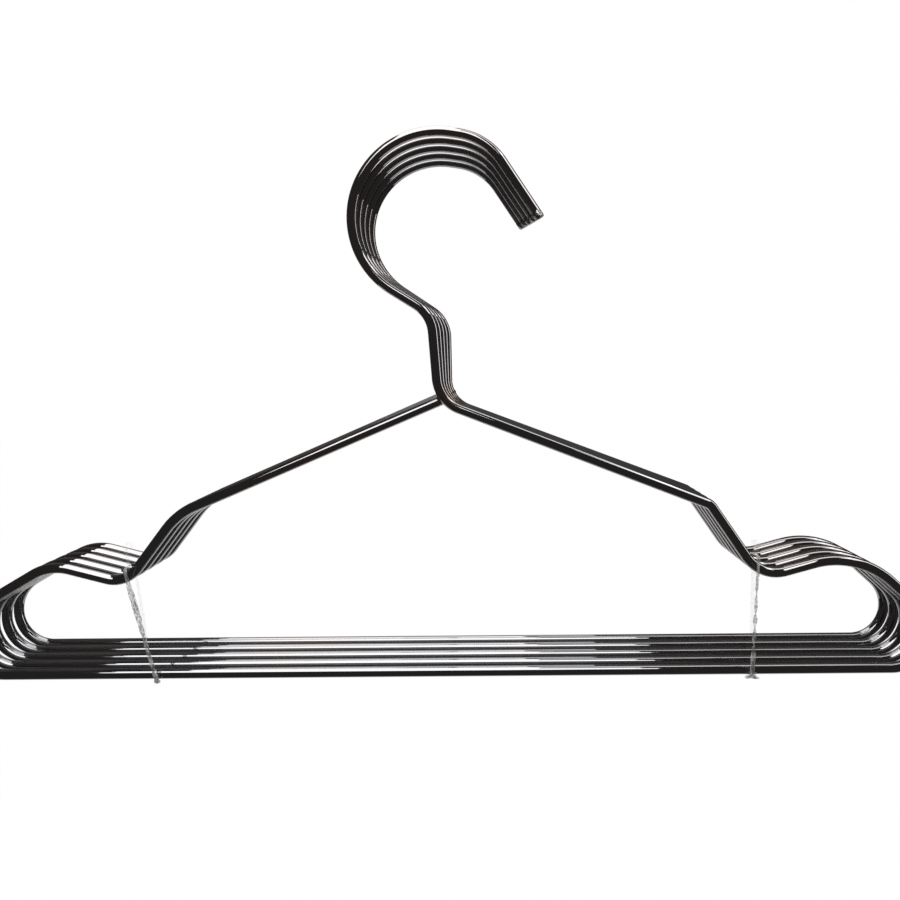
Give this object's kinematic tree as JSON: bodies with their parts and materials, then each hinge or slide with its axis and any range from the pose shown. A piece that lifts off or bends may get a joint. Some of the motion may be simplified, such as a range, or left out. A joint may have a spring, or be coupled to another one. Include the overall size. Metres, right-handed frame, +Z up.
{
  "type": "pet clothes hanger",
  "caption": "Bound pack of nested bent-wire hangers for pet clothes, each with an open hook, sloping arms, notched shoulders and a straight bar, tied by clear film.",
  "frame": {"origin": "rail seat of the middle hanger: the inside top of its hook, where a rail bears", "axes": "+Z up, +X along the bottom bars towards the side the hooks open to, +Y from the front hanger to the rear one"},
  "size_m": [0.3, 0.0368, 0.1709],
  "materials": {
    "dark_chrome": "mirror polished, dark plated",
    "clear_film": "clear crinkled film"
  },
  "bodies": {
    "middle_hanger": {"hanger_3": "dark_chrome", "tie_left": "clear_film", "tie_right": "clear_film"},
    "front_inner_hanger": {"hanger_2": "dark_chrome"},
    "front_hanger": {"hanger_1": "dark_chrome"},
    "rear_inner_hanger": {"hanger_4": "dark_chrome"},
    "rear_hanger": {"hanger_5": "dark_chrome"}
  },
  "joints": [
    {"name": "front_inner_swing", "type": "hinge", "parent": "middle_hanger", "child": "front_inner_hanger", "pos_m": [0, -0.0066, -0.16384], "axis": [1, 0, 0], "range_deg": [0, 2]},
    {"name": "front_swing", "type": "hinge", "parent": "front_inner_hanger", "child": "front_hanger", "pos_m": [0, -0.0132, -0.16384], "axis": [1, 0, 0], "range_deg": [0, 2]},
    {"name": "rear_inner_swing", "type": "hinge", "parent": "middle_hanger", "child": "rear_inner_hanger", "pos_m": [0, 0.0066, -0.16384], "axis": [-1, 0, 0], "range_deg": [0, 2]},
    {"name": "rear_swing", "type": "hinge", "parent": "rear_inner_hanger", "child": "rear_hanger", "pos_m": [0, 0.0132, -0.16384], "axis": [-1, 0, 0], "range_deg": [0, 2]}
  ]
}
